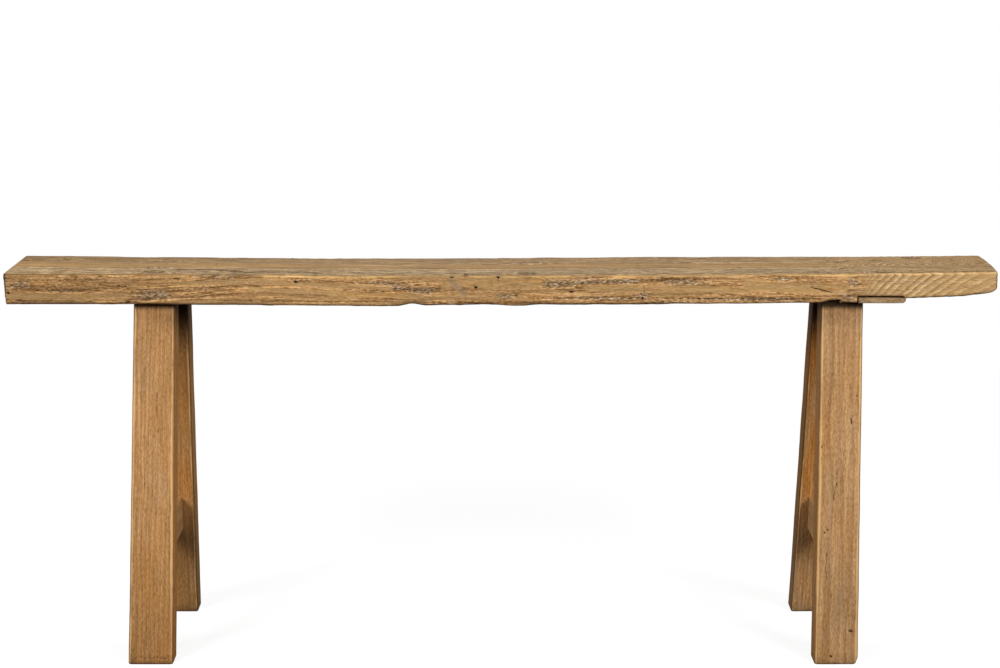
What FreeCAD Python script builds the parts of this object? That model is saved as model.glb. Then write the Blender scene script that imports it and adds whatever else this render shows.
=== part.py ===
"""Noodle bench: a narrow plank seat on four splayed legs, tied in pairs by a stretcher at each end.

The frame has +X along the seat, -Y to the front and +Z up. The origin is on the floor, under the middle
of the seat. All sizes are in millimetres.
"""

import FreeCAD
import Part
import math
import os

from FreeCAD import Vector

# Seat plank
SEAT_LENGTH = 1200.0
SEAT_WIDTH = 132.0
SEAT_HEIGHT = 475.0  # floor to the top of the seat, at its ends
SEAT_THICKNESS = 38.0
TOP_SAG = 4.0  # the worn top is this much lower at the middle
UNDERSIDE_SAG = 2.0  # the plank has sunk this much between the legs
END_UNDERCUT = 2.0  # the left end leans in towards the floor
SWEEP_RISE = 11.5  # the underside rises towards the right end
NOSE_LENGTH = 16.0  # worn lower corner of the right end
NOSE_HEIGHT = 8.0
ARRIS_CHAMFER = 2.0  # long top edges, worn down

# Legs
LEFT_OVERHANG = 180.5  # end of the seat to the middle of a leg
RIGHT_OVERHANG = 186.5
LEG_WIDTH = 50.0
LEG_DEPTH_TOP = 42.0
LEG_DEPTH_FOOT = 35.0
LEG_INSET = 10.0  # edge of the seat to the face of a leg, under the seat
FOOT_SPREAD = 248.0  # front of the front feet to back of the rear feet, before the feet are chamfered
LEG_RAKE = -6.5  # the feet stand this far along X from the tops
LEG_CHAMFER = 3.5
FOOT_CHAMFER = 3.0

# Blind leg tenons and the wedges that spread them in their mortises
TENON_SHOULDER = 12.0  # beside the tenon, along the seat
TENON_CHEEK = 10.0  # beside the tenon, across the seat
MORTISE_COVER = 12.5  # wood left above a blind mortise
MORTISE_GAP = 1.5  # room past the end of a tenon
WEDGE_LENGTH = 17.0
WEDGE_THICK_END = 3.0
WEDGE_THIN_END = 1.0

# Stretchers and their pegs
STRETCHER_MIDDLE = 140.0  # floor to the middle of a stretcher
STRETCHER_THICKNESS = 28.0
STRETCHER_HEIGHT = 46.0
STRETCHER_CHAMFER = 2.0
STRETCHER_TENON_LENGTH = 22.0
STRETCHER_TENON_THICKNESS = 14.0
STRETCHER_TENON_HEIGHT = 32.0
PEG_DIAMETER = 8.0
PEG_COVER = 12.0  # wood left past the end of a blind peg hole
PEG_PROUD = 1.0
PEG_CHAMFER = 0.8

# Packing strip, nailed into a rebate in the front lower edge of the seat, beside the right-hand leg
REBATE_DEPTH = 7.0
REBATE_WIDTH = 42.0
REBATE_LAND = 5.0  # wood left between the mortise and the rebate
STRIP_LENGTH = 57.0
STRIP_GAP = 0.6  # open line above the strip
STRIP_CORNER = 3.0
NAIL_INSET = 17.0  # end of the strip to a nail
NAIL_DIAMETER = 2.4
NAIL_LENGTH = 22.0
NAIL_HEAD_DIAMETER = 5.0
NAIL_HEAD_THICKNESS = 1.2

FIT = 0.15  # clearance on each side of a tenon
PEG_FIT = 0.05  # clearance round a peg or a nail

HALF_LENGTH = SEAT_LENGTH / 2
HALF_WIDTH = SEAT_WIDTH / 2
UNDERSIDE = SEAT_HEIGHT - SEAT_THICKNESS
LEFT_LEG_X = -HALF_LENGTH + LEFT_OVERHANG
RIGHT_LEG_X = HALF_LENGTH - RIGHT_OVERHANG
TENON_WIDTH = LEG_WIDTH - 2 * TENON_SHOULDER
TENON_DEPTH = LEG_DEPTH_TOP - 2 * TENON_CHEEK
TENON_END = UNDERSIDE + SEAT_THICKNESS - MORTISE_COVER - MORTISE_GAP
MORTISE_END = TENON_END + MORTISE_GAP
REBATE_START = RIGHT_LEG_X + TENON_WIDTH / 2 + FIT + REBATE_LAND
STRIP_END = REBATE_START + STRIP_LENGTH
OVERLAP = 5.0  # how far a cutting or joining tool runs past the face it meets
NEAR = 0.01  # two places this close are the same
ROUND_MIDDLE = 1 - math.sqrt(0.5)  # middle of a quarter round, as a share of its box

FRONT, REAR = -1, 1
ENDS = {"left": (LEFT_LEG_X, -1), "right": (RIGHT_LEG_X, 1)}
SIDES = {"front": FRONT, "rear": REAR}


def block(x0, x1, y0, y1, z0, z1):
    """A box between two corners."""
    low = Vector(min(x0, x1), min(y0, y1), min(z0, z1))
    return Part.makeBox(abs(x1 - x0), abs(y1 - y0), abs(z1 - z0), low)


def section(x, y, width, depth, z, chamfer=0.0):
    """A level rectangle about (x, y), with its corners cut off if it has a chamfer."""
    w, d, c = width / 2, depth / 2, chamfer
    if c:
        corners = [(-w + c, -d), (w - c, -d), (w, -d + c), (w, d - c),
                   (w - c, d), (-w + c, d), (-w, d - c), (-w, -d + c)]
    else:
        corners = [(-w, -d), (w, -d), (w, d), (-w, d)]
    points = [Vector(x + dx, y + dy, z) for dx, dy in corners]
    return Part.makePolygon(points + points[:1])


def post(sections):
    """A straight-sided solid through level sections."""
    return Part.makeLoft(sections, True, True)


def leg_place(leg_x, side, z):
    """Middle and depth of a leg at a height: (x, y, depth). It runs straight from foot to seat and beyond."""
    up = z / UNDERSIDE
    outer_foot = FOOT_SPREAD / 2
    outer_top = HALF_WIDTH - LEG_INSET
    middle_foot = outer_foot - LEG_DEPTH_FOOT / 2
    middle_top = outer_top - LEG_DEPTH_TOP / 2
    x = leg_x + LEG_RAKE * (1 - up)
    y = side * (middle_foot + (middle_top - middle_foot) * up)
    return x, y, LEG_DEPTH_FOOT + (LEG_DEPTH_TOP - LEG_DEPTH_FOOT) * up


def inner_face(leg_x, side, z):
    """Y of the leg's face that looks at the other leg of its pair."""
    _, y, depth = leg_place(leg_x, side, z)
    return y - side * depth / 2


def seat_blank():
    """The plank before it is worked: its worn front outline, drawn through the width, with the top eased."""
    left_bottom = Vector(-HALF_LENGTH + END_UNDERCUT, -HALF_WIDTH, UNDERSIDE)
    left_top = Vector(-HALF_LENGTH, -HALF_WIDTH, SEAT_HEIGHT)
    top_middle = Vector(0, -HALF_WIDTH, SEAT_HEIGHT - TOP_SAG)
    right_top = Vector(HALF_LENGTH, -HALF_WIDTH, SEAT_HEIGHT)
    nose_base = UNDERSIDE + SWEEP_RISE
    nose_top = Vector(HALF_LENGTH, -HALF_WIDTH, nose_base + NOSE_HEIGHT)
    nose_middle = Vector(HALF_LENGTH - ROUND_MIDDLE * NOSE_LENGTH, -HALF_WIDTH,
                         nose_base + ROUND_MIDDLE * NOSE_HEIGHT)
    nose_bottom = Vector(HALF_LENGTH - NOSE_LENGTH, -HALF_WIDTH, nose_base)
    sweep_start = Vector(STRIP_END, -HALF_WIDTH, UNDERSIDE)
    sag_right = Vector(RIGHT_LEG_X - LEG_WIDTH / 2, -HALF_WIDTH, UNDERSIDE)
    sag_left = Vector(LEFT_LEG_X + LEG_WIDTH / 2, -HALF_WIDTH, UNDERSIDE)
    sag_middle = (sag_left + sag_right) / 2 - Vector(0, 0, UNDERSIDE_SAG)
    outline = Part.Wire([
        Part.LineSegment(left_bottom, left_top).toShape(),
        Part.Arc(left_top, top_middle, right_top).toShape(),
        Part.LineSegment(right_top, nose_top).toShape(),
        Part.Arc(nose_top, nose_middle, nose_bottom).toShape(),
        Part.LineSegment(nose_bottom, sweep_start).toShape(),
        Part.LineSegment(sweep_start, sag_right).toShape(),
        Part.Arc(sag_right, sag_middle, sag_left).toShape(),
        Part.LineSegment(sag_left, left_bottom).toShape(),
    ])
    plank = Part.Face(outline).extrude(Vector(0, SEAT_WIDTH, 0))
    top_face = max(plank.Faces, key=lambda face: face.CenterOfMass.z)
    top_arrises = [e for e in top_face.Edges if abs(abs(e.CenterOfMass.y) - HALF_WIDTH) < NEAR]
    return plank.makeChamfer(ARRIS_CHAMFER, top_arrises)


def leg_blank(leg_x, side):
    """A leg before its joints are cut: tapered, splayed, with chamfered arrises and a chamfered foot."""
    sections = []
    for z, shrink in ((0.0, FOOT_CHAMFER), (FOOT_CHAMFER, 0.0), (UNDERSIDE, 0.0)):
        x, y, depth = leg_place(leg_x, side, z)
        sections.append(section(x, y, LEG_WIDTH - 2 * shrink, depth - 2 * shrink, z, LEG_CHAMFER))
    return post(sections)


def leg_tenon(leg_x, side, start, end, clearance=0.0):
    """The tenon in line with a leg, or with a clearance the mortise that takes it."""
    sections = []
    for z in (start, end):
        x, y, _ = leg_place(leg_x, side, z)
        sections.append(section(x, y, TENON_WIDTH + 2 * clearance, TENON_DEPTH + 2 * clearance, z))
    return post(sections)


def tenon_wedge(leg_x, side):
    """The hidden wedge in the end of a leg's tenon. It spreads the tenon along the grain of the seat."""
    sections = []
    for z, thickness in ((MORTISE_END - WEDGE_LENGTH, WEDGE_THIN_END), (MORTISE_END, WEDGE_THICK_END)):
        x, y, _ = leg_place(leg_x, side, z)
        sections.append(section(x, y, thickness, TENON_DEPTH, z))
    return post(sections)


def stretcher_tenons(leg_x, clearance=0.0, room=0.0):
    """One bar that holds the tenons of both ends of a stretcher, or the two mortises that take them."""
    x, _, _ = leg_place(leg_x, FRONT, STRETCHER_MIDDLE)
    half_thickness = STRETCHER_TENON_THICKNESS / 2 + clearance
    half_height = STRETCHER_TENON_HEIGHT / 2 + clearance
    reach = STRETCHER_TENON_LENGTH + room
    front = inner_face(leg_x, FRONT, STRETCHER_MIDDLE) - reach
    rear = inner_face(leg_x, REAR, STRETCHER_MIDDLE) + reach
    low, high = STRETCHER_MIDDLE - half_height, STRETCHER_MIDDLE + half_height
    return block(x - half_thickness, x + half_thickness, front, rear, low, high)


def peg_cylinder(leg_x, side, outward, radius, proud, extra_depth):
    """A cylinder through the outer face of a leg and the stretcher's tenon in it."""
    x, _, _ = leg_place(leg_x, side, STRETCHER_MIDDLE)
    y = inner_face(leg_x, side, STRETCHER_MIDDLE) + side * STRETCHER_TENON_LENGTH / 2
    length = LEG_WIDTH - PEG_COVER + proud + extra_depth
    start = Vector(x + outward * (LEG_WIDTH / 2 + proud), y, STRETCHER_MIDDLE)
    return Part.makeCylinder(radius, length, start, Vector(-outward, 0, 0))


def peg(leg_x, side, outward):
    """The round peg that pins a stretcher's tenon, driven from the end of the bench."""
    pin = peg_cylinder(leg_x, side, outward, PEG_DIAMETER / 2, PEG_PROUD, 0.0)
    rims = [e for e in pin.Edges if isinstance(e.Curve, Part.Circle)]
    return pin.makeChamfer(PEG_CHAMFER, rims)


def peg_hole(leg_x, side, outward):
    """The blind hole for a peg, in the leg and in the tenon."""
    return peg_cylinder(leg_x, side, outward, PEG_DIAMETER / 2 + PEG_FIT, OVERLAP, MORTISE_GAP)


def leg(leg_x, side, outward):
    """A whole leg: its tenon, split for the wedge, and its mortise and peg hole for the stretcher."""
    tenon = leg_tenon(leg_x, side, UNDERSIDE - OVERLAP, TENON_END)
    body = leg_blank(leg_x, side).fuse(tenon).removeSplitter()
    mortises = stretcher_tenons(leg_x, FIT, MORTISE_GAP)
    return body.cut([tenon_wedge(leg_x, side), mortises, peg_hole(leg_x, side, outward)])


def stretcher(leg_x, outward):
    """A rail between the legs of a pair, with its shoulders scribed to their sloping faces."""
    x, _, _ = leg_place(leg_x, FRONT, STRETCHER_MIDDLE)
    front = leg_place(leg_x, FRONT, STRETCHER_MIDDLE)[1]
    rear = leg_place(leg_x, REAR, STRETCHER_MIDDLE)[1]
    half_thickness, half_height = STRETCHER_THICKNESS / 2, STRETCHER_HEIGHT / 2
    rail = block(x - half_thickness, x + half_thickness, front, rear,
                 STRETCHER_MIDDLE - half_height, STRETCHER_MIDDLE + half_height)
    lengthwise = [e for e in rail.Edges if abs(e.Length - (rear - front)) < NEAR]
    rail = rail.makeChamfer(STRETCHER_CHAMFER, lengthwise)
    rail = rail.cut([leg_blank(leg_x, side) for side in SIDES.values()])
    rail = rail.fuse(stretcher_tenons(leg_x)).removeSplitter()
    return rail.cut([peg_hole(leg_x, side, outward) for side in SIDES.values()])


def strip_blank():
    """The packing strip before nailing, with its free lower corner rounded off."""
    strip = block(REBATE_START, STRIP_END, -HALF_WIDTH, -HALF_WIDTH + REBATE_WIDTH,
                  UNDERSIDE, UNDERSIDE + REBATE_DEPTH - STRIP_GAP)
    corner = [e for e in strip.Edges
              if abs(e.CenterOfMass.x - STRIP_END) < NEAR and abs(e.CenterOfMass.z - UNDERSIDE) < NEAR]
    return strip.makeFillet(STRIP_CORNER, corner)


def nail_places():
    """Where the nails go into the underside of the strip."""
    y = -HALF_WIDTH + REBATE_WIDTH / 2
    return [Vector(x, y, UNDERSIDE) for x in (REBATE_START + NAIL_INSET, STRIP_END - NAIL_INSET)]


def nail(place, clearance=0.0):
    """A wire nail with its head let in flush, or with a clearance the hole that it makes."""
    up = Vector(0, 0, 1)
    shank = Part.makeCylinder(NAIL_DIAMETER / 2 + clearance, NAIL_LENGTH + clearance, place, up)
    head = Part.makeCylinder(NAIL_HEAD_DIAMETER / 2 + clearance, NAIL_HEAD_THICKNESS + clearance, place, up)
    return shank.fuse(head).removeSplitter()


def seat_plank():
    """The seat: mortises for the legs, and the rebate and nail holes for the packing strip."""
    rebate = block(REBATE_START, HALF_LENGTH + OVERLAP, -HALF_WIDTH - OVERLAP, -HALF_WIDTH + REBATE_WIDTH,
                   UNDERSIDE - OVERLAP, UNDERSIDE + REBATE_DEPTH)
    tools = [rebate]
    for leg_x, _ in ENDS.values():
        for side in SIDES.values():
            tools.append(leg_tenon(leg_x, side, UNDERSIDE - OVERLAP, MORTISE_END, FIT))
    for place in nail_places():
        tools.append(nail(place, PEG_FIT))
    return seat_blank().cut(tools)


def packing_strip():
    """The strip with its nail holes."""
    return strip_blank().cut([nail(place, PEG_FIT) for place in nail_places()])


def build():
    """Every piece of the bench, by name."""
    pieces = {
        "seat_plank": seat_plank(),
        "packing_strip": packing_strip(),
        "packing_strip_nails": Part.makeCompound([nail(place) for place in nail_places()]),
    }
    for end, (leg_x, outward) in ENDS.items():
        pieces[f"{end}_stretcher"] = stretcher(leg_x, outward)
        for name, side in SIDES.items():
            pieces[f"{name}_{end}_leg"] = leg(leg_x, side, outward)
            pieces[f"{name}_{end}_tenon_wedge"] = tenon_wedge(leg_x, side)
            pieces[f"{name}_{end}_stretcher_peg"] = peg(leg_x, side, outward)
    return pieces


os.makedirs("parts", exist_ok=True)
for piece_name, shape in build().items():
    solids = shape.Solids
    assert solids and shape.isValid() and all(s.Volume > 0 for s in solids), piece_name
    print(f"{piece_name}: {len(solids)} solid, {shape.Volume / 1000:.1f} cm3")
    if len(solids) == 1:
        shape = solids[0]
    shape.exportStep(f"parts/{piece_name}.step")
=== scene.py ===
import itertools
import math

import bpy
import numpy as np
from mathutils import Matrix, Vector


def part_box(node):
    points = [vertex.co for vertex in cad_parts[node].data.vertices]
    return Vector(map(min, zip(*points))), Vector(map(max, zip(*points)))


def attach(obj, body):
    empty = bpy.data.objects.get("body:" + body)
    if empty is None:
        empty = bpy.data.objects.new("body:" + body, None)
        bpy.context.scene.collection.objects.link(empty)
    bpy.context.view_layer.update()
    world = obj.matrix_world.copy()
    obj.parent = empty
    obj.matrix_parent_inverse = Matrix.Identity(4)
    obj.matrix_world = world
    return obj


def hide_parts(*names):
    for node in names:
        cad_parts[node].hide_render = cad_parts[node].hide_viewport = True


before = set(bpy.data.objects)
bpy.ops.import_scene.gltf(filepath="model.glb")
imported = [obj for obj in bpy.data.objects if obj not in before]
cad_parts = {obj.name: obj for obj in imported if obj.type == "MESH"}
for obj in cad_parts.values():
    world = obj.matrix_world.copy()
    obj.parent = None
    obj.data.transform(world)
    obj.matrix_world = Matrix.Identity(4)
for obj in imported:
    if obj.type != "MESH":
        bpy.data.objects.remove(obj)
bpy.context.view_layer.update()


# The seat: one old softwood plank, sawn with the heart of the tree along its middle and brushed by long use,
# so that the soft part of each growth ring is worn down. It takes the legs in blind mortises, and its front
# edge keeps patches of the rough wood that lay under the bark.
MM = 0.001
_, plank_high = (np.array(corner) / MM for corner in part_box("seat_plank"))
strip_low, strip_high = (np.array(corner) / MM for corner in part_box("packing_strip"))
half_length = plank_high[0]
half_width = plank_high[1]
seat_height = plank_high[2]
underside = strip_low[2]
top_sag = 4.0
underside_sag = 2.0
sag_middle, sag_reach = -3.0, 391.5  # the plank has sunk between the legs
sweep_rise = 11.5
nose_length, nose_height = 16.0, 8.0
end_undercut = 2.0
end_skew = 0.018  # the ends aren't quite square to the sides
end_bow = 2.6  # the right end is worn to a slight curve
rebate_step = 8.2
lug_left = 411.0  # a stub of full thickness left between the chip and the rebate
ring_width = 3.6
heart_radius = 18.2
heart_depth = 15.0  # from the top of the plank to the heart of the tree
swirl_start = 405.0  # from here to the right end the grain runs round an old fork


def ease(start, end, value):
    """Goes smoothly from 0 at start to 1 at end."""
    t = np.clip((value - start) / (end - start), 0, 1)
    return t * t * (3 - 2 * t)


def lump(value, middle, half):
    """A smooth hump, 1 at the middle and 0 at half its width."""
    return ease(1, 0, np.abs(value - middle) / half)


def drift(points, size, seed):
    """Smooth noise from -1 to 1, with lumps of the given size in millimetres along each axis."""
    cells = points / np.array(size) + seed * 7.31
    base = np.floor(cells)
    blend = cells - base
    blend = blend * blend * (3 - 2 * blend)
    total = np.zeros(points.shape[:-1])
    for corner in itertools.product((0, 1), repeat=3):
        hashed = np.sin((base + corner) @ np.array((127.1, 311.7, 74.7)) + seed) * 43758.5453
        weight = np.where(corner, blend, 1 - blend).prod(axis=-1)
        total += weight * (2 * (hashed - np.floor(hashed)) - 1)
    return total


def graded(start, end, coarse, fine, places=()):
    """Places from start to end, coarse apart, and fine apart round each (middle, half width)."""
    run = np.linspace(start, end, 40001)
    density = np.full(run.shape, 1 / coarse)
    for middle, half in places:
        density += (1 / fine - 1 / coarse) * np.exp(-((run - middle) / half) ** 2)
    density = np.minimum(density, 1 / fine)
    steps = np.concatenate(([0], np.cumsum((density[1:] + density[:-1]) / 2 * (run[1] - run[0]))))
    return np.interp(np.linspace(0, steps[-1], int(steps[-1]) + 1), steps, run)


def eased_corners(places, low, high, radius, chamfer=False):
    """Moves points on a rectangle's outline so that its corners are rounded, or cut off as a chamfer."""
    inner = np.clip(places, low + radius, high - radius)
    out = places - inner
    if chamfer:
        length = np.abs(out).sum(axis=-1, keepdims=True)
    else:
        length = np.linalg.norm(out, axis=-1, keepdims=True)
    return inner + out * radius / np.maximum(length, 1e-6)


def outline(bottom, right, top, left):
    """Points round a unit square, anticlockwise, from the shares of each side that carry one."""
    def still(shares, value):
        return np.full(len(shares), value)
    across = np.concatenate((bottom, still(right, 1), 1 - top, still(left, 0)))
    up = np.concatenate((still(bottom, 0), right, still(top, 1), 1 - left))
    return across, up


def shares(count, bunch=0.5):
    """Even shares of a side, a little closer together at both ends."""
    t = np.arange(count) / count
    return t - bunch * np.sin(2 * np.pi * t) / (2 * np.pi)


def skin(name, loops, cap_loops):
    """A closed mesh through equal loops of points in millimetres. Ever smaller loops fill each end."""
    sizes = np.linspace(0, 1, cap_loops + 2)[1:-1, None, None]
    start, end = loops[0].mean(axis=0), loops[-1].mean(axis=0)
    first_cap = start + (loops[0] - start) * sizes
    last_cap = end + (loops[-1] - end) * sizes[::-1]
    rows = np.concatenate((first_cap, loops, last_cap))
    count, round_count = rows.shape[:2]
    ids = np.arange(count * round_count).reshape(count, round_count)
    turned = np.roll(ids, -1, axis=1)
    quads = np.stack((ids[:-1], turned[:-1], turned[1:], ids[1:]), axis=-1).reshape(-1, 4).tolist()
    poles = (count * round_count, count * round_count + 1)
    fans = [(poles[0], b, a) for a, b in zip(ids[0].tolist(), turned[0].tolist())]
    fans += [(poles[1], a, b) for a, b in zip(ids[-1].tolist(), turned[-1].tolist())]
    points = np.concatenate((rows.reshape(-1, 3), [start, end]))
    mesh = bpy.data.meshes.new(name)
    mesh.from_pydata((points * MM).tolist(), [], quads + fans)
    mesh.shade_smooth()
    return mesh, points


def note(mesh, **fields):
    """Keeps a number or a vector for each vertex, which the surface and the material read."""
    for name, values in fields.items():
        kind, key = ("FLOAT_VECTOR", "vector") if np.ndim(values) == 2 else ("FLOAT", "value")
        if np.ndim(values) == 0:
            values = np.full(len(mesh.vertices), values)
        mesh.attributes.new(name, kind, "POINT").data.foreach_set(key, np.ravel(values).astype(np.float32))


def to_line(places, line):
    """Distance from each place to a line of points, and how far along it the nearest spot is, 0 to 1."""
    line = np.array(line, float)
    best = np.full(len(places), 1e6)
    share = np.zeros(len(places))
    runs = np.linalg.norm(np.diff(line, axis=0), axis=1)
    done = 0.0
    for start, end, run in zip(line[:-1], line[1:], runs):
        t = np.clip((places - start) @ (end - start) / run ** 2, 0, 1)
        distance = np.linalg.norm(places - start - t[:, None] * (end - start), axis=1)
        share = np.where(distance < best, (done + t * run) / runs.sum(), share)
        best = np.minimum(best, distance)
        done += run
    return best, share


def add_node(tree, kind, inputs=None, **settings):
    """Adds a node with its settings and returns its outputs. An input takes a value or a socket."""
    node = tree.nodes.new(kind)
    for name, value in settings.items():
        setattr(node, name, value)
    for key, value in (inputs or {}).items():
        if isinstance(value, bpy.types.NodeSocket):
            tree.links.new(value, node.inputs[key])
        else:
            node.inputs[key].default_value = value
    return node.outputs


def paint(code):
    """A colour written as sRGB hex, as the linear numbers a shader takes."""
    values = [int(code[i:i + 2], 16) / 255 for i in (1, 3, 5)]
    return [v / 12.92 if v <= 0.04045 else ((v + 0.055) / 1.055) ** 2.4 for v in values] + [1]


crumb_size = (4.4, 1.6, 1.6)
lump_size = (120.0, 5.5, 5.5)
ring_crest = 0.8  # how far across a growth ring its ridge is highest


def worn_surface():
    """The wear of old wood as a node tree: raised growth rings, cracks, rough patches and slow hollows."""
    tree = bpy.data.node_groups.new("worn_wood_surface", "GeometryNodeTree")
    tree.interface.new_socket("Geometry", in_out="INPUT", socket_type="NodeSocketGeometry")
    for name in ("Grain height", "Crack depth", "Bark roughness", "Lump height", "Hollow depth",
                 "Hollow length", "Seed"):
        tree.interface.new_socket(name, in_out="INPUT", socket_type="NodeSocketFloat")
    tree.interface.new_socket("Wood", in_out="INPUT", socket_type="NodeSocketMaterial")
    tree.interface.new_socket("Geometry", in_out="OUTPUT", socket_type="NodeSocketGeometry")
    given = add_node(tree, "NodeGroupInput")
    field = {}
    for name, kind in (("ring", "FLOAT"), ("heart", "FLOAT"), ("crack", "FLOAT"), ("bark", "FLOAT"),
                       ("fibre", "FLOAT_VECTOR")):
        field[name] = add_node(tree, "GeometryNodeInputNamedAttribute", {"Name": name}, data_type=kind)[0]
    share = add_node(tree, "ShaderNodeMath", {0: field["ring"]}, operation="FRACT")[0]
    rise, fall = (add_node(tree, "ShaderNodeMapRange", {0: share, 1: start, 2: ring_crest},
                           interpolation_type="SMOOTHSTEP")[0] for start in (0.0, 1.0))
    ridge = add_node(tree, "ShaderNodeMath", {0: rise, 1: fall}, operation="MULTIPLY")[0]
    ridge = add_node(tree, "ShaderNodeMath", {0: ridge, 1: 0.5}, operation="SUBTRACT")[0]
    ring_side = add_node(tree, "ShaderNodeMath", {0: 1.0, 1: field["heart"]}, operation="SUBTRACT")[0]
    ridge = add_node(tree, "ShaderNodeMath", {0: ridge, 1: ring_side}, operation="MULTIPLY")[0]
    gap = add_node(tree, "ShaderNodeMapRange", {0: field["crack"], 1: 0.8, 2: -0.6},
                   interpolation_type="SMOOTHSTEP")[0]
    gap = add_node(tree, "ShaderNodeMath", {0: gap, 1: -1.0}, operation="MULTIPLY")[0]
    rough = {}
    for name, size, middle in (("crumbs", crumb_size, 0.6), ("lumps", lump_size, 0.5)):
        spot = add_node(tree, "ShaderNodeVectorMath", {0: field["fibre"], 1: [1 / s for s in size]},
                        operation="MULTIPLY")[0]
        spot = add_node(tree, "ShaderNodeTexNoise",
                        {"Vector": spot, "Scale": 1.0, "Detail": 3.0, "Roughness": 0.6})[0]
        spot = add_node(tree, "ShaderNodeMath", {0: spot, 1: middle}, operation="SUBTRACT")[0]
        rough[name] = add_node(tree, "ShaderNodeMath", {0: spot, 1: field["bark"]}, operation="MULTIPLY")[0]
    stride = add_node(tree, "ShaderNodeMath", {0: 1.0, 1: given["Hollow length"]}, operation="DIVIDE")[0]
    hollows = add_node(tree, "ShaderNodeTexNoise",
                       {"Vector": field["fibre"], "W": given["Seed"], "Scale": stride, "Detail": 1.0},
                       noise_dimensions="4D")[0]
    hollows = add_node(tree, "ShaderNodeMath", {0: hollows, 1: 0.5}, operation="SUBTRACT")[0]
    height = add_node(tree, "ShaderNodeMath", {0: ridge, 1: given["Grain height"]}, operation="MULTIPLY")[0]
    for shape, amount in ((gap, "Crack depth"), (rough["crumbs"], "Bark roughness"),
                          (rough["lumps"], "Lump height"), (hollows, "Hollow depth")):
        height = add_node(tree, "ShaderNodeMath", {0: shape, 1: given[amount], 2: height},
                          operation="MULTIPLY_ADD")[0]
    height = add_node(tree, "ShaderNodeMath", {0: height, 1: MM}, operation="MULTIPLY")[0]
    normal = add_node(tree, "GeometryNodeInputNormal")[0]
    offset = add_node(tree, "ShaderNodeVectorMath", {0: normal, "Scale": height}, operation="SCALE")[0]
    moved = add_node(tree, "GeometryNodeSetPosition", {"Geometry": given["Geometry"], "Offset": offset})[0]
    real = add_node(tree, "GeometryNodeRealizeInstances", {0: moved})[0]
    done = add_node(tree, "GeometryNodeSetMaterial", {"Geometry": real, "Material": given["Wood"]})[0]
    add_node(tree, "NodeGroupOutput", {0: done})
    return tree


worn_wood_surface = worn_surface()


def weathered(name, mesh, node, slot, **inputs):
    """Wears a mesh with the node tree and puts the result in the place of a CAD node, as a plain mesh.

    A kind of wear that isn't named is left out.
    """
    draft = bpy.data.objects.new(name + "_draft", mesh)
    bpy.context.collection.objects.link(draft)
    modifier = draft.modifiers.new("wear", "NODES")
    modifier.node_group = worn_wood_surface
    for item in worn_wood_surface.interface.items_tree:
        key = item.name.lower().replace(" ", "_")
        if item.in_out == "INPUT" and key != "geometry":
            modifier[item.identifier] = inputs.get(key, 0.0)
    worn = bpy.data.meshes.new_from_object(draft.evaluated_get(bpy.context.evaluated_depsgraph_get()))
    bpy.data.objects.remove(draft)
    worn.name = name
    worn.shade_smooth()
    piece = bpy.data.objects.new(name, worn)
    bpy.context.collection.objects.link(piece)
    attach(piece, "root")
    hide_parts(node)


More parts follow.
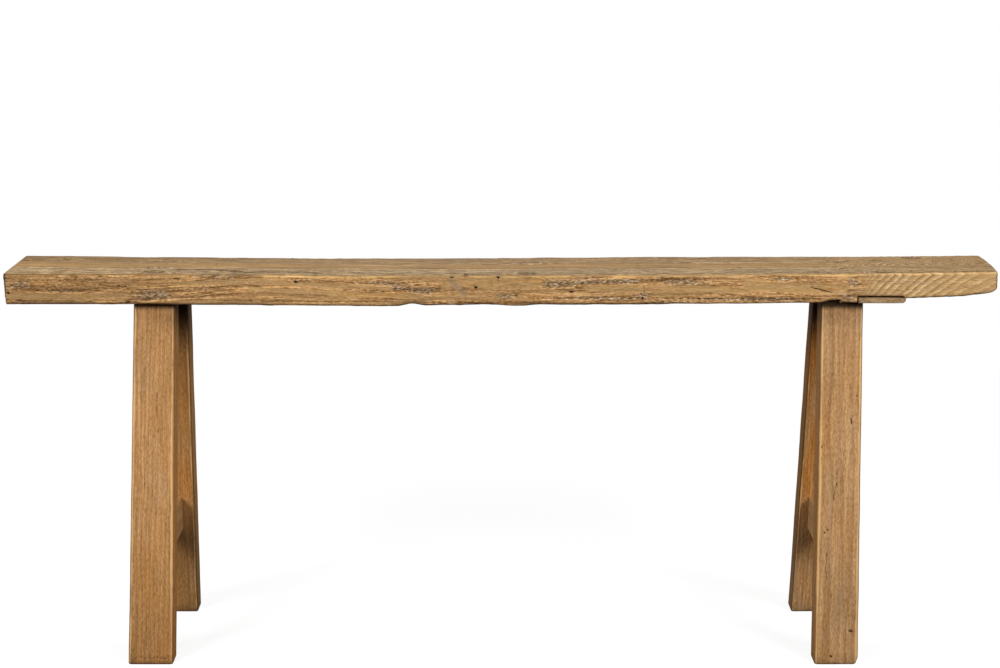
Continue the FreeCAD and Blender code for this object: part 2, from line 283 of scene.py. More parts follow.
def old_softwood(name, early, ochre, late, pale, grey, line_strength, thread_size, thread_contrast,
                 worn, grit=0.5, banding=0.0, dirt_and_shade="#2E1E11", gloss=0.08):
    """Old softwood: a dark furrow and a pale ridge in each ring, fine fibres, greyed and ochre blotches.

    The fields on the mesh say where the rings, cracks, rough bark patches and arrises are.
    """
    material = bpy.data.materials.new(name)
    material.use_nodes = True
    tree = material.node_tree
    shader = tree.nodes["Principled BSDF"]
    shader.inputs["Specular IOR Level"].default_value = gloss
    fibre = add_node(tree, "ShaderNodeAttribute", attribute_name="fibre")["Vector"]
    ring, core, lined, crack, bark, edge, shade, warmth = (
        add_node(tree, "ShaderNodeAttribute", attribute_name=field)["Fac"]
        for field in ("ring", "heart", "lined", "crack", "bark", "edge", "shade", "warmth"))

    redder = (0.78, 1.0, 1.5)  # how much red, green and blue change with the tone: dark fibres are redder
    rust = "#B06F2C"

    def toned(base, tone):
        """A colour made paler or darker by a tone."""
        tint = add_node(tree, "ShaderNodeVectorMath", {0: tone, 1: redder, 2: (1, 1, 1)},
                        operation="MULTIPLY_ADD")[0]
        return add_node(tree, "ShaderNodeVectorMath", {0: base, 1: tint}, operation="MULTIPLY")[0]

    # Noise in seven sizes, most of it long along the fibres.
    noise = {}
    for key, size in (("threads", thread_size), ("streaks", (90, 4, 4)), ("blotches", (140, 40, 40)),
                      ("checks", (150, 9, 9)), ("crumbs", crumb_size), ("lumps", lump_size),
                      ("layers", (130, 5, 5))):
        scaled = add_node(tree, "ShaderNodeVectorMath", {0: fibre, 1: [1 / s for s in size]},
                          operation="MULTIPLY")[0]
        noise[key] = add_node(tree, "ShaderNodeTexNoise",
                              {"Vector": scaled, "Scale": 1.0, "Detail": 3.0, "Roughness": 0.6})[0]

    # Each ring ends in a thin dark furrow beside a pale ridge. Some rings are stronger than others, and none
    # shows in the heart.
    wobble = add_node(tree, "ShaderNodeMath", {0: noise["threads"], 1: 0.3, 2: ring},
                      operation="MULTIPLY_ADD")[0]
    share = add_node(tree, "ShaderNodeMath", {0: wobble}, operation="FRACT")[0]
    rise, fall, ridge = (add_node(tree, "ShaderNodeMapRange", {0: share, 1: start, 2: end},
                                  interpolation_type="SMOOTHSTEP")[0]
                         for start, end in ((0.58, 0.8), (1.0, 0.9), (0.55, 0.15)))
    line = add_node(tree, "ShaderNodeMath", {0: rise, 1: fall}, operation="MULTIPLY")[0]
    number = add_node(tree, "ShaderNodeMath", {0: wobble}, operation="FLOOR")[0]
    luck = add_node(tree, "ShaderNodeTexWhiteNoise", {"W": number}, noise_dimensions="1D")[0]
    luck = add_node(tree, "ShaderNodeMapRange", {0: luck, 3: 0.4 * line_strength, 4: 1.3 * line_strength})[0]
    fade = add_node(tree, "ShaderNodeMapRange", {0: noise["streaks"], 1: 0.32, 2: 0.56, 3: 0.4, 4: 1.0})[0]
    outside = add_node(tree, "ShaderNodeMath", {0: 1.0, 1: core}, operation="SUBTRACT")[0]
    for part in (luck, fade, outside, lined):
        line, ridge = (add_node(tree, "ShaderNodeMath", {0: shape, 1: part}, operation="MULTIPLY")[0]
                       for shape in (line, ridge))

    # Base colour: pale to ochre in blotches and in the heart, greyer streaks, the rings, then the threads and
    # a fine grit, which are weaker in the heart.
    blotch = add_node(tree, "ShaderNodeMapRange", {0: noise["blotches"], 1: 0.38, 2: 0.7, 4: 0.7})[0]
    blotch = add_node(tree, "ShaderNodeMath", {0: blotch, 1: core}, operation="MAXIMUM")[0]
    blotch = add_node(tree, "ShaderNodeMath", {0: blotch, 1: warmth}, operation="MAXIMUM", use_clamp=True)[0]
    streak = add_node(tree, "ShaderNodeMapRange", {0: noise["streaks"], 1: 0.52, 2: 0.3, 4: 0.7})[0]
    cold = add_node(tree, "ShaderNodeMapRange", {0: warmth, 1: 0.0, 2: -1.0})[0]
    streak = add_node(tree, "ShaderNodeMath", {0: streak, 1: cold}, operation="MAXIMUM")[0]
    stain = add_node(tree, "ShaderNodeMapRange", {0: warmth, 1: 1.0, 2: 2.0})[0]
    colour = paint(early)
    for amount, coat in ((blotch, ochre), (streak, grey), (stain, rust), (ridge, pale), (line, late)):
        colour = add_node(tree, "ShaderNodeMix", {0: amount, 6: colour, 7: paint(coat)}, data_type="RGBA")[2]
    rough = add_node(tree, "ShaderNodeMath", {0: outside, 1: lined}, operation="MULTIPLY")[0]
    rough = add_node(tree, "ShaderNodeMapRange", {0: rough, 3: 0.7})[0]
    tone = add_node(tree, "ShaderNodeMapRange", {0: noise["threads"], 1: 0.28, 2: 0.72, 3: -thread_contrast,
                                                 4: thread_contrast})[0]
    for key, amount in (("crumbs", grit), ("streaks", banding)):
        part = add_node(tree, "ShaderNodeMapRange", {0: noise[key], 3: -amount, 4: amount})[0]
        tone = add_node(tree, "ShaderNodeMath", {0: tone, 1: part}, operation="ADD")[0]
    tone = add_node(tree, "ShaderNodeMath", {0: tone, 1: rough}, operation="MULTIPLY")[0]
    colour = toned(colour, tone)

    # The live edge lies in thin layers: brown in the hollows, tan between, rubbed to ochre where they stand
    # out, with fine checks along them.
    live = add_node(tree, "ShaderNodeMapRange", {0: lined, 3: 0.92, 4: 0.0})[0]
    bare = add_node(tree, "ShaderNodeMapRange", {0: bark, 2: 0.3})[0]
    live = add_node(tree, "ShaderNodeMath", {0: live, 1: bare}, operation="MULTIPLY")[0]
    height = add_node(tree, "ShaderNodeMath", {0: noise["crumbs"], 1: 0.2, 2: noise["layers"]},
                      operation="MULTIPLY_ADD")[0]
    raised = add_node(tree, "ShaderNodeMapRange", {0: height, 1: 0.46, 2: 0.62})[0]
    rubbed = add_node(tree, "ShaderNodeMapRange", {0: height, 1: 0.6, 2: 0.78})[0]
    rubbed = add_node(tree, "ShaderNodeMath", {0: rubbed, 1: warmth}, operation="MAXIMUM", use_clamp=True)[0]
    layer = paint("#7F5A34")
    for amount, coat in ((raised, "#B58A5C"), (rubbed, "#DCAA6E")):
        layer = add_node(tree, "ShaderNodeMix", {0: amount, 6: layer, 7: paint(coat)}, data_type="RGBA")[2]
    loose = add_node(tree, "ShaderNodeMapRange", {0: bark, 1: 0.12, 2: 0.5, 3: 0.7, 4: 3.6})[0]
    tone = add_node(tree, "ShaderNodeMath", {0: noise["crumbs"], 1: 0.5}, operation="SUBTRACT")[0]
    tone = add_node(tree, "ShaderNodeMath", {0: tone, 1: loose}, operation="MULTIPLY")[0]
    part = add_node(tree, "ShaderNodeMapRange", {0: noise["threads"], 3: -0.85, 4: 0.85})[0]
    tone = add_node(tree, "ShaderNodeMath", {0: tone, 1: part}, operation="ADD")[0]
    layer = toned(layer, tone)
    check = add_node(tree, "ShaderNodeMath", {0: noise["checks"], 1: 0.5}, operation="SUBTRACT")[0]
    check = add_node(tree, "ShaderNodeMath", {0: check}, operation="ABSOLUTE")[0]
    check = add_node(tree, "ShaderNodeMapRange", {0: check, 1: 0.016, 2: 0.006, 4: 0.8})[0]
    check = add_node(tree, "ShaderNodeMath", {0: check, 1: live}, operation="MULTIPLY")[0]
    layer = add_node(tree, "ShaderNodeMix", {0: check, 6: layer, 7: paint("#4F3520")}, data_type="RGBA")[2]
    colour = add_node(tree, "ShaderNodeMix", {0: live, 6: colour, 7: layer}, data_type="RGBA")[2]

    # Knots, bark seams and rough patches are crumbled: dark pits, grey-brown crumbs and pale flecks.
    patch = bark
    for key, amount in (("lumps", 0.9), ("crumbs", 0.8)):
        patch = add_node(tree, "ShaderNodeMath", {0: noise[key], 1: amount, 2: patch},
                         operation="MULTIPLY_ADD")[0]
    patch = add_node(tree, "ShaderNodeMapRange", {0: patch, 1: 1.35, 2: 1.75, 4: 0.8})[0]
    crumb_tone = add_node(tree, "ShaderNodeMapRange", {0: noise["crumbs"], 1: 0.36, 2: 0.6})[0]
    fleck = add_node(tree, "ShaderNodeMapRange", {0: noise["crumbs"], 1: 0.55, 2: 0.66})[0]
    few = add_node(tree, "ShaderNodeMapRange", {0: lined, 3: 1.0, 4: 0.35})[0]
    fleck = add_node(tree, "ShaderNodeMath", {0: fleck, 1: few}, operation="MULTIPLY")[0]
    crumb = paint("#634A31")
    for amount, coat in ((crumb_tone, "#A98D6C"), (fleck, "#D3C1A3")):
        crumb = add_node(tree, "ShaderNodeMix", {0: amount, 6: crumb, 7: paint(coat)}, data_type="RGBA")[2]
    colour = add_node(tree, "ShaderNodeMix", {0: patch, 6: colour, 7: crumb}, data_type="RGBA")[2]

    # Worn arrises are pale, in broken lengths, and open cracks are dark with old dirt.
    wear = add_node(tree, "ShaderNodeMath", {0: noise["lumps"], 1: -7.0, 2: edge},
                    operation="MULTIPLY_ADD")[0]
    wear = add_node(tree, "ShaderNodeMapRange", {0: wear, 1: -0.4, 2: -2.0})[0]
    gap = add_node(tree, "ShaderNodeMath", {0: noise["crumbs"], 1: 1.2, 2: crack},
                   operation="MULTIPLY_ADD")[0]
    gap = add_node(tree, "ShaderNodeMapRange", {0: gap, 1: 0.8, 2: 0.2}, interpolation_type="SMOOTHSTEP")[0]
    for amount, coat in ((wear, worn), (gap, dirt_and_shade)):
        colour = add_node(tree, "ShaderNodeMix", {0: amount, 6: colour, 7: paint(coat)}, data_type="RGBA")[2]
    colour = add_node(tree, "ShaderNodeVectorMath", {0: colour, "Scale": shade}, operation="SCALE")[0]
    tree.links.new(colour, shader.inputs["Base Color"])

    # Dull where the fibres are open, a little smoother on the hard late wood and the worn arrises.
    smooth = add_node(tree, "ShaderNodeMath", {0: line, 1: wear}, operation="MAXIMUM")[0]
    dull = add_node(tree, "ShaderNodeMapRange", {0: smooth, 3: 0.85, 4: 0.6})[0]
    tree.links.new(dull, shader.inputs["Roughness"])
    relief = add_node(tree, "ShaderNodeMath", {0: line, 1: -0.6, 2: noise["threads"]},
                      operation="MULTIPLY_ADD")[0]
    relief = add_node(tree, "ShaderNodeMath", {0: relief, 1: rough}, operation="MULTIPLY")[0]
    crumbs = add_node(tree, "ShaderNodeMath", {0: live, 1: patch}, operation="MAXIMUM")[0]
    crumbs = add_node(tree, "ShaderNodeMath", {0: crumbs, 1: noise["crumbs"]}, operation="MULTIPLY")[0]
    for part, amount in ((crumbs, 2.2), (check, -1.0)):
        relief = add_node(tree, "ShaderNodeMath", {0: part, 1: amount, 2: relief},
                          operation="MULTIPLY_ADD")[0]
    bump = add_node(tree, "ShaderNodeBump", {"Strength": 1.0, "Distance": 0.5 * MM, "Height": relief})[0]
    tree.links.new(bump, shader.inputs["Normal"])
    return material


# Knots on the top: middle (x, y), half length and half width.
knots = [(-543, 45.5, 6, 5), (-423, 30.5, 14, 6), (-419, -49.9, 10, 7), (-421, -19.7, 12, 3.5),
         (35, 28.6, 9, 6), (32.6, -51, 10, 6), (211, 51.5, 9, 4), (250, 50.3, 5, 2.5), (380, -48.7, 6, 5),
         (467, 33.4, 6, 4.5), (466, -52.3, 9, 6), (513, 51.5, 11, 5), (-262, 59, 5, 4)]
# Stains of the top: middle (x, y), half length and half width, from grey (-1) to ochre (1) and rust (2).
top_stains = [(-598, 0, 6, 7, 1.6), (-250, 3.5, 32, 5, -0.9), (-251, 3, 12, 3, 1.2), (331, -0.5, 22, 4, -1),
              (-145, -16, 24, 4, -1), (-88, -7, 34, 4, -0.7), (187, 5, 16, 8, -0.7), (424, 17, 9, 4, 1.6),
              (-290, -17, 80, 3.5, -0.8), (-400, 15, 160, 3, -0.6), (90, 14, 110, 3, -0.6),
              (150, -16, 180, 3, -0.6), (455, -4, 22, 9, -0.5), (-330, 6, 60, 3, 1.1), (60, 9, 90, 3, 1.2)]
# Cracks in the top: half width, then points (x, y).
top_cracks = [
    (0.9, [(-600, 34), (-592, 35.6), (-583, 34.4), (-575, 35)]), (0.7, [(-600, 41), (-591, 40), (-585, 39)]),
    (0.6, [(-600, 29.5), (-588, 28.6)]), (0.5, [(-598, 45), (-589, 44.2)]),
    (1.0, [(-347, -33.5), (-326, -39.5), (-310, -47.5), (-298, -47)]),
    (0.6, [(-292, -44.5), (-255, -46), (-232, -48)]),
    (0.5, [(-398, -28.5), (-366, -24.5), (-350, -25.5)]),
    (0.6, [(-575, 33.5), (-544, 33), (-500, 32.8), (-436, 32)]),
    (1.7, [(-440, 28.9), (-430, 28.5)]),
    (0.6, [(-532, -15), (-314, -12.5), (-206, -16), (-121, -13.7), (0, -11.3), (72, -14.3), (168, -13.7),
           (301, -12), (398, -11.3)]),
    (0.6, [(-532, 11.7), (-302, 12.3), (-121, 11), (-25, 13), (72, 18.3), (241, 20), (398, 20)]),
    (0.9, [(169.6, 14), (170.8, 2), (167.2, -1.6), (173, -7.6)]),
    (0.6, [(456, -13), (451.4, -6.2), (448.5, -2.3), (453.3, 5.4), (465, 13), (476, 16)]),
    (0.6, [(489, -10), (483, -0.4), (486, 4.4), (503, 15), (521, 23.7), (544, 27), (598, 40)]),
    (0.5, [(467, -0.8), (483, -1.4), (496, -3.3), (535, -0.4)]),
    (0.5, [(536, 11.2), (551, 8.3), (575, 5.4), (600, 5.4)]),
    (0.6, [(403, 13), (403, -6.2), (413, -11.8), (436, -11), (461, -15), (494, -19.7), (513, -23.3),
           (523, -19.7), (563, -23.3), (600, -21.6)]),
    (0.6, [(434, -18.7), (424, -20.7), (413, -23.5), (413, -31), (424, -39), (440, -44.7), (461, -46.6)]),
    (0.5, [(388, 23.7), (409, 29.4), (424, 36), (449, 41)]),
    (0.5, [(401, 13), (417, 15), (421, 24.6), (436, 34.3)]),
]
# Seams of old bark in the top: half width, then points (x, y).
bark_seams = [
    (4.2, [(-400, -31.8), (-365, -28.2), (-345, -29.4), (-308, -43.9), (-255, -41.4), (-228, -47.5)]),
    (2.6, [(-228, -44), (-222, -52), (-224, -66)]),
    (2.6, [(-42, -52), (-43, -66)]),
    (2.2, [(413, 14), (419, 26), (432, 36), (449, 42)]),
    (1.8, [(516, -22), (534, -26), (552, -25)]),
]
# Cracks and worm holes in the front edge: half width, then points (x, z). Then its rough patches: middle
# (x, z), half length and half height.
front_cracks = [
    (0.6, [(-566, 453), (-552, 452), (-540, 452.5), (-526, 453.4), (-512, 452.8), (-500, 452.2)]),
    (0.8, [(-467, 457.5), (-462, 459.3), (-457, 457), (-453, 458), (-450, 454.6), (-448, 455.5)]),
    (2.2, [(-595, 449), (-594, 449.5)]), (2.5, [(-453, 437.6), (-448, 438)]),
    (0.7, [(-395, 467), (-388, 466.6), (-385, 467.4)]),
    (0.6, [(-362, 440.5), (-282, 439.6), (-200, 438.8), (-132, 439)]),
    (0.6, [(48, 443), (172, 443.5), (300, 442), (410, 441.5)]), (0.5, [(-315, 443.5), (-288, 444)]),
    (0.9, [(173, 463), (174, 452), (172, 441)]), (0.8, [(-2, 470), (-1, 458)]),
    (1.0, [(376, 456), (401, 450)]),
    (1.5, [(-248, 463.5), (-245.5, 463.5)]), (1.8, [(-184, 447.5), (-182, 447.5)]),
    (2.3, [(-30.5, 456.5), (-28.5, 456.5)]), (2.3, [(-60, 469.4), (-57, 469.6)]),
    (2.2, [(-4, 469.4), (-1, 469.4)]), (2.0, [(6, 446.7), (7, 446.7)]), (1.8, [(84, 451), (89, 451)]),
    (1.4, [(177, 461.5), (177.5, 461.5)]), (1.4, [(172, 444), (172.5, 444)]),
    (1.1, [(-335, 459), (-334.5, 459)]),
]
front_patches = [(-582, 459, 12, 5), (-417, 447, 27, 6), (-343, 470, 30, 3), (-140, 458, 34, 7),
                 (-94, 452, 17, 5), (6, 446, 11, 4), (69, 461, 30, 5), (108, 463, 22, 5), (150, 463, 24, 4),
                 (217, 461, 35, 5), (340, 466, 17, 4), (-240, 464, 17, 3), (420, 443, 10, 5),
                 (300, 441, 100, 2.4), (426, 464, 8, 6), (110, 443, 60, 2.2), (172, 446, 8, 5)]
# Smooth bands of bare wood in the front edge: half height, then points (x, z).
front_bands = [
    (3.4, [(-592, 446), (-520, 444.5), (-455, 446)]), (3.2, [(-395, 461), (-310, 463)]),
    (3.6, [(-301, 464), (-220, 460), (-132, 455)]), (3.2, [(-301, 455), (-190, 449), (-95, 446)]),
    (7.0, [(-66, 462), (-10, 461), (44, 462)]), (5.0, [(105, 456), (170, 455)]),
    (3.6, [(185, 458), (240, 455), (300, 452)]), (7.5, [(300, 459), (345, 457), (412, 454)]),
]
# Pale slivers where the front edge is freshly worn: half height, then points (x, z).
front_slivers = [
    (1.3, [(-533, 470.4), (-519, 470.6)]), (1.2, [(-507, 470.6), (-490, 470.2)]),
    (0.9, [(-478, 470.2), (-443, 470.6)]), (1.0, [(-437, 463), (-410, 463.4), (-385, 464)]),
    (1.2, [(-264, 469.4), (-238, 469.8)]), (0.8, [(-590, 468.5), (-572, 468)]),
]
# Where the seat has small shapes, and its loops stand closer: middle x and half length.
close_places = [(-594, 6), (500, 60), (425, 24), (170, 5), (-232, 10), (-52, 10), (-451, 5), (-107, 16),
                (600, 9)]
top_warp = 1.9
beside_end = 556.0
beside_drop = 2.7  # from the strip to beside_end the underside hangs lower, at first by this much
end_round = 1.5
smooth_from, smooth_to = 425.0, 465.0  # right of the fork the front edge is smooth


def top_at(x, across):
    """Height of the top: sagged, less so at the back right of the middle, and worn low at the left front."""
    z = seat_height - top_sag * (1 - (x / half_length) ** 2)
    z = z + top_warp * lump(x, 190, 330) * across
    return z - top_warp * ease(-380, -600, x) * (1 - across)


def underside_at(x, y):
    """Height of the underside: sagged between the legs, swept up to the right end, chipped at the front."""
    z = underside - underside_sag * np.clip(1 - ((x - sag_middle) / sag_reach) ** 2, 0, None)
    nose_start = half_length - nose_length
    sweep = np.clip((x - strip_high[0]) / (nose_start - strip_high[0]), 0, 1) * sweep_rise
    round_share = np.clip((x - nose_start) / nose_length, 0, 1)
    z = z + sweep + nose_height * (1 - np.sqrt(1 - round_share ** 2))
    chips = 2.5 * lump(x, -107, 19) - 1.9 * lump(x, 18, 34)
    chips = chips + 3.4 * ease(383, 406, x) * (x < lug_left)
    z = z + chips * ease(-30, -60, y) - 1.8 * ease(-20, -110, x) - 1.6 * lump(x, 515, 45)
    in_rebate = (x > strip_low[0] - 0.1) & (y < strip_high[1] + 0.1)
    beside = ease(strip_high[0] - 1, strip_high[0] + 1, x)
    beside = beside * np.clip((beside_end - x) / (beside_end - strip_high[0]), 0, 1)
    return np.where(in_rebate, np.maximum(z, underside + (rebate_step - beside_drop * beside)), z)


stations = graded(-half_length + 2.5, half_length - 2.5, 3.6, 1.9,
                  [(x, 1.4 * long) for x, _, long, _ in knots] + close_places)
steps = [strip_low[0] - 0.25, strip_low[0] + 0.05, lug_left - 0.3, lug_left + 0.1]
ends = np.array([0, 0.3, 0.8, end_round])
stations = np.sort(np.concatenate((stations, steps, ends - half_length, half_length - ends)))[:, None]
bottom_places = np.append(graded(-half_width, half_width, 8.0, 1.6, [(-half_width, 5), (half_width, 5)])[:-1],
                          [strip_high[1] - 0.15, strip_high[1] + 0.15])
bottom_shares = (np.sort(bottom_places) + half_width) / (2 * half_width)
across, up = outline(bottom_shares, shares(14, 0.6), shares(124, 0.3), shares(38))
spots = np.stack(np.broadcast_arrays(stations, 0, 0), axis=-1)
front_line = -half_width + 0.6 - 2.6 * lump(stations, -206, 120) + 1.0 * lump(stations, 338, 80)
front_line = front_line + 0.7 * drift(spots, (60, 1, 1), 3) + 0.5 * drift(spots, (17, 1, 1), 14)
back_line = half_width - 0.6 + 0.8 * drift(spots, (110, 1, 1), 4)
into_round = np.clip(end_round - half_length + np.abs(stations), 0, end_round)
end_ease = end_round - np.sqrt(end_round ** 2 - into_round ** 2)
front_line, back_line = front_line + end_ease, back_line - end_ease
plank_y = front_line + (back_line - front_line) * across
plank_top = top_at(stations, across) - end_ease
plank_bottom = underside_at(stations, plank_y) + end_ease
plank_z = plank_bottom + (plank_top - plank_bottom) * up
corner_spots = np.stack(np.broadcast_arrays(stations, 60 * across, 60 * up), axis=-1)
ragged_length = 1 - ease(smooth_from, smooth_to, stations)
corner_radius = 2.8 + 1.2 * drift(corner_spots, (40, 40, 40), 5)
corner_radius = corner_radius + 0.8 * drift(corner_spots, (11, 40, 40), 15) * ragged_length
places = eased_corners(np.stack((plank_y, plank_z), axis=-1),
                       np.stack((front_line + 0 * across, plank_bottom), axis=-1),
                       np.stack((back_line + 0 * across, plank_top), axis=-1), corner_radius[..., None])
bow = end_bow * (1 - (places[..., 0] / half_width) ** 2) * ease(half_length - 60, half_length, stations)
lean = end_undercut * (1 - up) * ease(-half_length + 40, -half_length, stations) + bow
loops = np.stack((stations + lean + end_skew * places[..., 0], places[..., 0], places[..., 1]), axis=-1)
seat_mesh, points = skin("seat_plank", loops, 16)

x, y, z = points[:, 0] - end_skew * points[:, 1], points[:, 1], points[:, 2]
top_z = top_at(x, (y + half_width) / (2 * half_width))
front_y = np.interp(x, stations[:, 0], front_line[:, 0])
back_y = np.interp(x, stations[:, 0], back_line[:, 0])
below_top, behind_front, before_back = top_z - z, y - front_y, back_y - y
on_top = ease(10, 2, below_top) * ease(0, 5, behind_front)
on_front = ease(4, 0.5, behind_front)
near_front = ease(6, 1, behind_front)
under_rim = ease(0, 3, below_top)
left_part = ease(-250, -350, x)
right_part = ease(440, 480, x)
smooth_part = ease(smooth_from, smooth_to, x)
striped_part = ease(smooth_from, smooth_to - 10, x)

# How far each spot is from an arris. Wear is strongest near one, and comes and goes along it.
to_faces = np.stack((x + half_length, half_length - x, behind_front, before_back, below_top))
edge = np.sort(np.abs(to_faces), axis=0)[1] + 1.3 + 3 * smooth_part * ease(2, 12, behind_front)
edge = edge + 1.7 * right_part
edge = edge + 1.9 * drift(points, (34, 60, 60), 19) + 2.2 * drift(points, (9, 60, 60), 27)
edge = edge + 3 * ease(1.3, 0.4, below_top) + 3 * ease(590, 596, np.abs(x)) + 1.2 * left_part
edge = edge - 1.4 * lump(x, -262, 50)

# Growth rings go round the heart line, bend round the knots, and open like a fan right of the fork. A small
# eye in the front edge marks where the fork starts.
heart_round = 8.0
bent_y = y - 1.0 - 2.0 * drift(points, (240, 900, 900), 6)
knotty = np.zeros(len(points))
knot_rim = np.zeros(len(points))
for knot_x, knot_y, half_long, half_wide in knots:
    reach = np.exp(-((x - knot_x) / (2.0 * half_long)) ** 2 - ((y - knot_y) / (1.8 * half_wide)) ** 2)
    bent_y = bent_y - 0.6 * (y - knot_y) * reach * on_top
    far = np.hypot((x - knot_x) / half_long, (y - knot_y) / half_wide) + 0.35 * drift(points, (7, 3, 3), 21)
    knotty = np.maximum(knotty, np.clip(1.6 - 0.8 * far, 0, 1) * on_top)
    rim = lump(far, 1.05, 0.55) * (0.55 + 0.45 * drift(points, (9, 5, 5), 35)) * on_top
    knot_rim = np.maximum(knot_rim, rim)
warp = 1.5 * drift(points, (260, 46, 30), 7) + 0.6 * drift(points, (75, 17, 12), 8)
warp = warp + 0.5 * drift(points, (30, 7, 7), 9) + 0.3 * drift(points, (12, 4, 4), 22)
radius = np.hypot(bent_y, z - top_z + heart_depth)
past = 12 * np.log1p(np.exp((x - swirl_start) / 12))
opening = 66 * np.log1p(past / 113)
opening = opening * (1 - 0.5 * ease(0, -20, bent_y) * ease(2, 14, behind_front))
from_heart = np.hypot(bent_y, heart_round)
fan = from_heart - 0.42 * below_top - opening + 11
fork = ease(swirl_start - 15, swirl_start + 45, x)
eye = 16 * np.exp(-((x - 400) / 24) ** 2 - ((z - 460) / 15) ** 2) * ease(20, 0, behind_front)
grain = radius * (1 - fork) + fan * fork + warp + eye
uneven = drift(np.stack((0 * grain, grain, 0 * grain), axis=-1), (1, 9, 1), 33)
ring = (grain - heart_radius) / ring_width + 0.35 * uneven
ring = ring + 0.012 * np.clip(radius - 30, 0, None) ** 1.6 * (1 - fork)
ragged_heart = 0.45 * drift(points, (120, 20, 900), 28) + 0.3 * drift(points, (36, 14, 900), 29)
heart = ease(0.7, -0.1, ring + 1.6 * ragged_heart) * (1 - fork)
fibre_y = bent_y + warp - bent_y / from_heart * opening * ease(8, 0, below_top)
fibre_z = z + 5 * drift(points, (170, 900, 60), 25) * on_front
fibre = np.stack((x, fibre_y, fibre_z), axis=-1)

# The tone of the wood: mottled in the heart, darker at the left of the front edge, darker along the lower and
# back arrises, at the ends and just under the front rim, partly dirt and partly painted shade, and paler
# towards the back of the top, partly its own tone and partly painted light. Warmth goes from grey (-1) to
# ochre (1) and rust (2).
shade = 0.97 + 0.04 * drift(points, (90, 30, 30), 11)
mottled = 0.04 + 0.34 * drift(points, (60, 3.2, 900), 31) + 0.24 * drift(points, (22, 2.2, 900), 32)
shade = shade + mottled * heart * on_top
front_shade = np.interp(x, [-600, -420, -300, -100, 20, 160, 300, 440, 480, 600],
                        [0.78, 0.85, 1.06, 0.96, 0.95, 1.03, 1.05, 1.08, 1.16, 1.18])
layers = 0.1 * drift(points, (120, 900, 5), 12) + 0.06 * drift(points, (35, 900, 2.4), 13)
layers = layers * (1 - striped_part)
shade = shade * (1 + (front_shade - 1 + layers) * on_front)
striped = on_front * striped_part
warmth = 0.6 * drift(points, (70, 900, 6), 17) * on_front * (1 - striped)
for stain_x, stain_y, half_long, half_wide, tint in top_stains:
    far = np.hypot((x - stain_x) / half_long, (y - stain_y) / half_wide) + 0.4 * drift(points, (14, 3, 3), 23)
    tinted = ease(1.2, 0.5, far) * on_top
    warmth = warmth * (1 - tinted) + tint * tinted
lined = 1 - np.maximum(on_front, ease(4, 0.5, before_back))
lined = np.maximum(lined * (1 - 0.24 * fork), 0.36 * striped)
over_strip = ease(strip_low[0] - 2, strip_low[0] + 1, x) * ease(strip_high[0] + 3, strip_high[0], x)
# Darker along the front edge's lower arris, the back arris and the ends, and just under the front rim at the
# left: partly dirt, partly painted shade where the rounded arrises turn from the light, with a painted shadow
# line under the rim.
dirt_and_shade = (0.5 - 0.4 * over_strip) * ease(4, 1, z - underside_at(x, y)) * on_front
dirt_and_shade = dirt_and_shade + 0.38 * ease(4.5, 0.5, before_back) * ease(3, 0, below_top)
dirt_and_shade = dirt_and_shade + 0.85 * ease(4.5, 1.0, x + half_length) * on_front
dirt_and_shade = dirt_and_shade + 0.5 * ease(3.0, 0.6, half_length - x) * on_front
dirt_and_shade = dirt_and_shade + 0.25 * ease(3.5, 1, behind_front) * ease(2.2, 0.8, below_top) * left_part
rubbed = ease(9, 2, behind_front) * ease(2.5, 1, below_top) * right_part
shade = shade * (1 + 0.32 * rubbed)
# Painted shade darkens the front third of the top, and the top grows paler towards the back, partly its own
# tone and partly painted light.
shade = shade * (1 - 0.08 * ease(-5, -20, y) * np.interp(x, [-500, -250], [0.3, 1.0]) * on_top)
slope = np.interp(x, [-500, -60, 270, 600], [0.04, 0.12, 0.2, 0.12])
shade = shade * (1 - dirt_and_shade) * (1 - 0.6 * knot_rim) * (1 + slope * y / half_width * on_top)

# Cracks, then rough patches with bare bands and pale slivers between them, a grey smear, and the bark seams.
far_off = 9.0  # the distance noted where no crack or worn arris is near
from_above = np.stack((x, y), axis=-1)
from_front = np.stack((x, z), axis=-1)
crack = far_off
ragged = 0.75 + 0.5 * drift(points, (14, 14, 14), 10)
for half, line in top_cracks:
    distance, share = to_line(from_above, line)
    width = half * ragged * np.minimum(1, 0.25 + 5 * share * (1 - share))
    crack = np.minimum(crack, np.hypot(distance, below_top) - width)
for half, line in front_cracks:
    distance, _ = to_line(from_front, line)
    crack = np.minimum(crack, np.hypot(distance, behind_front) - half * ragged)
rough = np.clip(0.3 + 0.32 * drift(points, (80, 900, 7), 18), 0.06, 0.6)
bark = rough * near_front * under_rim * (1 - smooth_part)
bark = np.maximum(bark, 0.3 * ease(6, 1, before_back) * under_rim)
for patch_x, patch_z, half_long, half_high in front_patches:
    far = np.hypot((x - patch_x) / half_long, (z - patch_z) / half_high)
    bark = np.maximum(bark, np.clip(1.35 - 0.75 * far, 0, 1) * near_front)
for half, line in front_bands:
    distance, _ = to_line(from_front, line)
    bare = ease(1.3, 0.5, distance / half + 0.35 * drift(points, (40, 900, 4), 26)) * on_front
    bark = bark * (1 - 0.9 * bare)
    warmth = np.maximum(warmth, (0.55 + 0.9 * drift(points, (45, 900, 2.4), 36)) * bare)
for half, line in front_slivers:
    distance, _ = to_line(from_front, line)
    sliver = ease(1.7, 0.6, distance / half + 0.6 * drift(points, (8, 900, 60), 38)) * on_front
    shade = shade * (1 + 0.42 * sliver)
smear, _ = to_line(from_front, [(-60, 466), (-53, 458), (-44, 449)])
smeared = ease(6, 2, smear + 1.5 * drift(points, (5, 900, 5), 37)) * on_front
bark, warmth = bark * (1 - smeared), warmth * (1 - smeared) - smeared
shade = shade * (1 + 0.12 * smeared)
